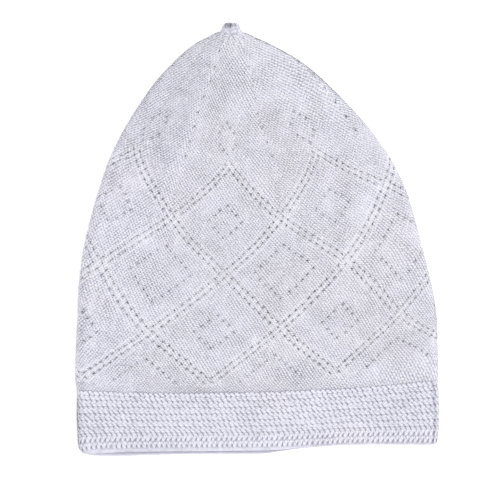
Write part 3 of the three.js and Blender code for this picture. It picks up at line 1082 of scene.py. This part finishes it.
def finish_yarn(nodes, height, bump_distance):
    """Colours the yarn by how high it lies, with painted shade low down and painted light on the tops, a
    little unevenly, and raises it.
    """
    place = nodes.place()
    fibres = nodes.noise(place, FIBRES_SCALE, 3.0, 0.6)
    shade = nodes.sway(height, fibres, FIBRES)
    shade = nodes.sway(shade, nodes.noise(place, MOTTLE_SCALE, 2.0, 0.6), MOTTLE)
    shade = nodes.sway(shade, nodes.noise(place, CLOUDS_SCALE), CLOUDS)
    colour = nodes.ramp(shade, YARN_AND_PAINTED_SHADE_STOPS)
    warm = nodes.math("MAXIMUM", nodes.sub(nodes.noise(place, WARM_SCALE), WARM_FROM), 0.0)
    warm = nodes.math("MINIMUM", nodes.mul(warm, 5.0), 1.0)
    nodes.put(nodes.shader.inputs["Base Color"], nodes.tint(warm, colour, WARM_TINT))
    nodes.bump(nodes.add(height, nodes.mul(fibres, 0.2)), bump_distance)


def strand(nodes, across, along, half_width):
    """Height of slanting strands, one in each unit across, pinched once in each unit along."""
    off = nodes.sub(nodes.math("FRACT", across), 0.5)
    fall = nodes.math("POWER", nodes.math("DIVIDE", nodes.math("ABSOLUTE", off), half_width), 2.0)
    rounded = nodes.math("MAXIMUM", nodes.sub(1.0, fall), 0.0)
    beat = nodes.add(along, nodes.mul(nodes.math("FLOOR", across), BEAT_SHIFT))
    swell = nodes.math("SINE", nodes.mul(nodes.math("FRACT", beat), math.pi))
    stitch = nodes.combine(nodes.math("FLOOR", across), nodes.math("FLOOR", beat))
    swell = nodes.mul(swell, nodes.add(nodes.mul(nodes.random(stitch), SWELL_VARIES), LEAST_SWELL))
    return nodes.mul(rounded, nodes.add(swell, PINCHED))


def crown_material():
    material, nodes = cotton("crown_knit", glow=0.65, glow_reach=0.0016)
    u, v = nodes.uv()
    place = nodes.place()
    u = nodes.sway(u, nodes.noise(place, WANDER_ACROSS_SCALE), WANDER_ACROSS)
    v = nodes.sway(v, nodes.noise(place, WANDER_UP_SCALE), WANDER_UP)
    slanted = nodes.mul(v, STRAND_SLANT)
    falling = strand(nodes, nodes.add(u, slanted), v, FALLING_HALF_WIDTH)
    rising = strand(nodes, nodes.sub(u, slanted), v, RISING_HALF_WIDTH)
    # The ramp paints lowered strands darker: outside the left gore the rising strands are lowered, as
    # painted shade on the side that faces away from the light
    lean = nodes.value_of("Lean")
    falling = nodes.mul(falling, nodes.sub(1.0, nodes.mul(lean, 0.65)))
    rising = nodes.mul(rising, nodes.add(nodes.mul(lean, 0.5), 0.5))
    height = nodes.math("MAXIMUM", falling, rising)
    clear = nodes.add(nodes.mul(nodes.noise(place, CLEAR_SCALE), CLEAR_GAIN), CLEAR_BASE)
    clear = nodes.math("MAXIMUM", nodes.math("MINIMUM", clear, CLEAR_RANGE[1]), CLEAR_RANGE[0])
    height = nodes.add(nodes.mul(nodes.sub(height, STRAND_MIDDLE), clear), CROWN_LIGHTNESS)
    # The painted light and shade are added to the strands' height, which the ramp turns into colour
    finish_yarn(nodes, nodes.add(height, nodes.value_of("PaintedShading")), bump_distance=0.0006)
    return material


def band_material():
    material, nodes = cotton("band_knit", glow=0.25, glow_reach=0.0005)
    u, v = nodes.uv()
    turns = nodes.add(nodes.mul(u, 3.0), nodes.mul(v, 2.0))
    plies = nodes.math("SINE", nodes.mul(turns, 2 * math.pi))
    # The band's painted light and shade, scaled, are added to the plies' height, which the ramp turns
    # into colour
    painted_shading = nodes.mul(nodes.value_of("PaintedShading"), BAND_PAINTED_SHADING)
    height = nodes.add(nodes.add(nodes.mul(plies, PLIES), BAND_LIGHTNESS), painted_shading)
    finish_yarn(nodes, height, bump_distance=0.0002)
    return material


def knot_material():
    material, nodes = cotton("knot_yarn", glow=0.3, glow_reach=0.0008)
    strands = nodes.mul(nodes.noise(nodes.place(), KNOT_SCALE), 0.9)
    # The knot's painted shade is added to its strands' height, which the ramp turns into colour
    height = nodes.add(nodes.sub(strands, 0.08), nodes.value_of("PaintedShading"))
    finish_yarn(nodes, height, bump_distance=0.0005)
    return material


# The cap

def dress(piece, material, node):
    piece.data.materials.append(material)
    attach(piece, "root")
    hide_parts(node)


knit = crown_material()
for layer in make_crown():
    dress(layer, knit, "crown")
ribbed = band_material()
for part in (make_band_wall(), make_band_stitches()):
    dress(part, ribbed, "band")
dress(make_knot(), knot_material(), "peak_knot")


# The photograph's view and its light

PIXEL = 0.5464           # millimetres of the cap in a pixel of the photograph
IMAGE_PIXELS = 500
ORIGIN_PIXEL = (257.5, 239.5)
VIEW_DISTANCE = 1.6
SURFACE_HEIGHT = 0.008
FLOOR_REACH = 3.0
FLOOR_GLOW = 0.22
SKY_STRENGTH = 0.733
SUN_STRENGTH = 1.32
SUN_AZIMUTH = -5         # the sun's angles are in degrees
SUN_ELEVATION = 72
SUN_SPREAD = 60


def make_camera():
    data = bpy.data.cameras.new("camera")
    camera = bpy.data.objects.new("camera", data)
    bpy.context.scene.collection.objects.link(camera)
    data.sensor_width = 36
    data.lens = data.sensor_width * VIEW_DISTANCE / (IMAGE_PIXELS * PIXEL * MM)
    middle = IMAGE_PIXELS / 2
    camera.location = (
        (middle - ORIGIN_PIXEL[0]) * PIXEL * MM,
        (ORIGIN_PIXEL[1] - middle) * PIXEL * MM,
        SURFACE_HEIGHT + VIEW_DISTANCE,
    )
    data.clip_start = 0.05
    bpy.context.scene.camera = camera


def make_floor():
    mesh = bpy.data.meshes.new("floor")
    signs = ((-1, -1), (1, -1), (1, 1), (-1, 1))
    corners = [(FLOOR_REACH * x, FLOOR_REACH * y, 0) for x, y in signs]
    mesh.from_pydata(corners, [], [(0, 1, 2, 3)])
    floor = bpy.data.objects.new("floor", mesh)
    bpy.context.scene.collection.objects.link(floor)
    material = bpy.data.materials.new("floor")
    nodes = Nodes(material)
    nodes.shader.inputs["Base Color"].default_value = (0.985, 0.985, 0.985, 1)
    nodes.shader.inputs["Roughness"].default_value = 0.9
    nodes.shader.inputs["Emission Color"].default_value = (1, 1, 1, 1)
    nodes.shader.inputs["Emission Strength"].default_value = FLOOR_GLOW
    mesh.materials.append(material)


def make_sun():
    """A soft light from far away."""
    data = bpy.data.lights.new("key", "SUN")
    data.energy = SUN_STRENGTH
    data.angle = math.radians(SUN_SPREAD)
    light = bpy.data.objects.new("key", data)
    light.rotation_euler = (math.radians(90 - SUN_ELEVATION), 0, math.radians(SUN_AZIMUTH + 90))
    bpy.context.scene.collection.objects.link(light)


def make_sky():
    world = bpy.data.worlds.new("studio")
    bpy.context.scene.world = world
    world.use_nodes = True
    background = world.node_tree.nodes["Background"]
    background.inputs["Color"].default_value = (1, 1, 1, 1)
    background.inputs["Strength"].default_value = SKY_STRENGTH


make_camera()
make_floor()
make_sky()
make_sun()
bpy.context.scene.view_settings.view_transform = "Standard"
